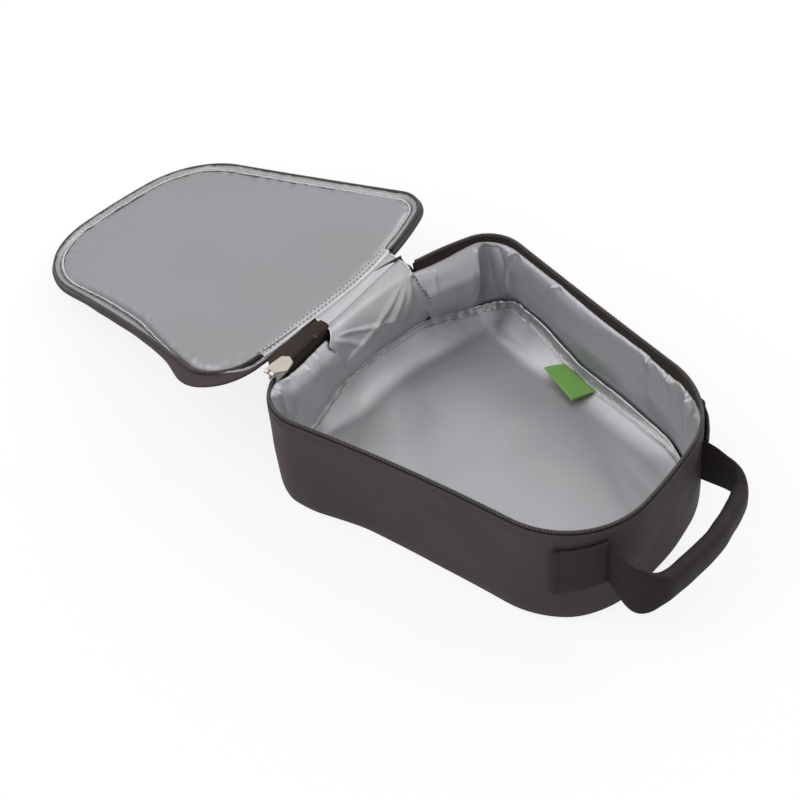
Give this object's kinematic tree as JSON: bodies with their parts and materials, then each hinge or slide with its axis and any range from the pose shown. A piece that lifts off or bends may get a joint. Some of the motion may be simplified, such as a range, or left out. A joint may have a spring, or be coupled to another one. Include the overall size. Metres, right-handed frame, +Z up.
{
  "type": "lunch bag",
  "caption": "Insulated lunch bag lying on its back with the zipped front panel opened flat past its wide end, silver lined, with a webbing carry handle.",
  "frame": {"origin": "middle of the back panel's outer face, on the surface the bag lies on", "axes": "+X from the hinged wide end to the handle end, +Z up out of the open tray"},
  "size_m": [0.5503, 0.2235, 0.0874],
  "materials": {
    "outer_cloth": "satin charcoal-brown polyester",
    "zip_tape": "matt dark woven tape and coil",
    "foam": "soft closed-cell insulation",
    "silver_lining": "satin silver foil film",
    "lining_binding": "bright silver folded binding",
    "label_cloth": "matt woven green",
    "webbing": "ribbed dark webbing",
    "zip_metal": "warm satin metal"
  },
  "bodies": {
    "tray": {"back_panel": "outer_cloth", "side_gusset": "outer_cloth", "hinge_gusset": "outer_cloth", "hinge_fabric": "outer_cloth", "back_foam": "foam", "side_foam": "foam", "hinge_foam": "foam", "floor_lining": "silver_lining", "side_lining": "silver_lining", "hinge_lining_panel": "silver_lining", "hinge_lining_flap": "silver_lining", "floor_seam_binding": "lining_binding", "near_wall_seam": "lining_binding", "far_wall_seam": "lining_binding", "woven_label": "label_cloth", "tray_zip_tape": "zip_tape", "tray_zip_coil": "zip_tape", "tray_zip_top_stop": "zip_metal", "zip_bottom_stop": "zip_metal", "near_anchor_patch": "webbing", "far_anchor_patch": "webbing", "near_handle_webbing": "webbing", "far_handle_webbing": "webbing"},
    "lid": {"front_panel": "outer_cloth", "lid_gusset": "outer_cloth", "lid_hinge_gusset": "outer_cloth", "lid_foam": "foam", "lid_lining": "silver_lining", "lid_binding": "lining_binding", "lid_lining_hem": "lining_binding", "lid_zip_tape": "zip_tape", "lid_zip_coil": "zip_tape", "lid_zip_top_stop": "zip_metal"},
    "slider": {"zip_slider": "zip_metal"},
    "pull_link": {"pull_link": "zip_metal"},
    "pull_tab": {"pull_tab": "zip_metal"},
    "handle": {"handle_grip": "webbing"}
  },
  "joints": [
    {"name": "lid_hinge", "type": "hinge", "parent": "tray", "child": "lid", "pos_m": [-0.132, 0, 0.08015], "axis": [0, 1, 0], "range_deg": [0, 195.96], "deforming": ["hinge_fabric", "hinge_lining_flap", "lid_zip_tape", "lid_zip_coil"]},
    {"name": "handle_swing", "type": "hinge", "parent": "tray", "child": "handle", "pos_m": [0.1195, 0, 0.05], "axis": [0, -1, 0], "range_deg": [0, 45], "deforming": ["near_handle_webbing", "far_handle_webbing"]},
    {"name": "slider_travel", "type": "slide", "parent": "tray", "child": "slider", "axis": [-0.1049, 0.9945, 0], "range_m": [0, 0.034]},
    {"name": "pull_fold", "type": "hinge", "parent": "slider", "child": "pull_link", "pos_m": [-0.11929, -0.09266, 0.08], "axis": [-0.1049, 0.9945, 0], "range_deg": [0, 97.98]},
    {"name": "pull_flip", "type": "hinge", "parent": "pull_link", "child": "pull_tab", "pos_m": [-0.11929, -0.09266, 0.0857], "axis": [0.9945, 0.1049, 0], "range_deg": [0, 90]}
  ],
  "couplings": [
    {"joint": "pull_fold", "follows": "lid_hinge", "ratio": 0.5}
  ]
}
